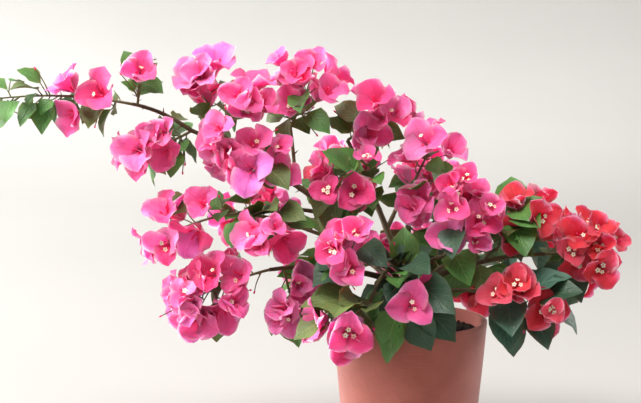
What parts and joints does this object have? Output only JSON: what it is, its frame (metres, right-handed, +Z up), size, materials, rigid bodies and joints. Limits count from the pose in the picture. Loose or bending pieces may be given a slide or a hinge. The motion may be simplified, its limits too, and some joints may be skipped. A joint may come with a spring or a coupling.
{
  "type": "potted bougainvillea bush",
  "caption": "Flowering bougainvillea bush with arching canes and papery bracts, planted in a round tapered terracotta pot that stands on its flat underside.",
  "frame": {"origin": "centre of the pot's flat underside", "axes": "+Z up along the pot's axis, -X towards the tip of the long arching branch, -Y towards the side that the plant shows to the window"},
  "size_m": [0.8004, 0.3698, 0.5307],
  "materials": {
    "terracotta": "matte",
    "soil": "rough",
    "bark": "rough",
    "blossom_pink": "matte",
    "blossom_coral": "matte",
    "foliage": "satin"
  },
  "bodies": {
    "root": {"pot": "terracotta", "soil": "soil", "trunk": "bark", "arch_low": "bark", "arch_mid": "bark", "arch_end": "bark", "peak_cane": "bark", "shoulder_cane": "bark", "mid_left_cane": "bark", "low_left_cane": "bark", "crest_cane": "bark", "middle_cane": "bark", "right_crest_cane": "bark", "front_cane": "bark", "front_low_cane": "bark", "fold_cane": "bark", "right_cane": "bark", "right_mid_cane": "bark", "right_low_cane": "bark", "back_left_cane": "bark", "back_cane": "bark", "back_right_cane": "bark", "back_low_cane": "bark", "far_left_spray": "blossom_pink", "left_rise_spray": "blossom_pink", "left_drop_spray": "blossom_pink", "left_peak_spray": "blossom_pink", "shoulder_spray": "blossom_pink", "inner_peak_spray": "blossom_pink", "peak_spray": "blossom_pink", "left_fall_spray": "blossom_pink", "middle_left_spray": "blossom_pink", "lower_left_spray": "blossom_pink", "low_spray": "blossom_pink", "front_spray": "blossom_pink", "front_low_spray": "blossom_pink", "centre_spray": "foliage", "middle_spray": "blossom_pink", "crest_spray": "blossom_pink", "right_crest_spray": "blossom_pink", "bend_spray": "blossom_pink", "fold_spray": "blossom_pink", "right_mid_spray": "blossom_coral", "right_end_spray": "blossom_coral", "right_low_spray": "blossom_coral", "back_left_spray": "blossom_pink", "back_rise_spray": "blossom_pink", "back_spray": "blossom_pink", "back_fall_spray": "blossom_pink", "back_right_spray": "blossom_coral", "back_corner_spray": "foliage", "back_low_spray": "foliage"}
  },
  "joints": []
}
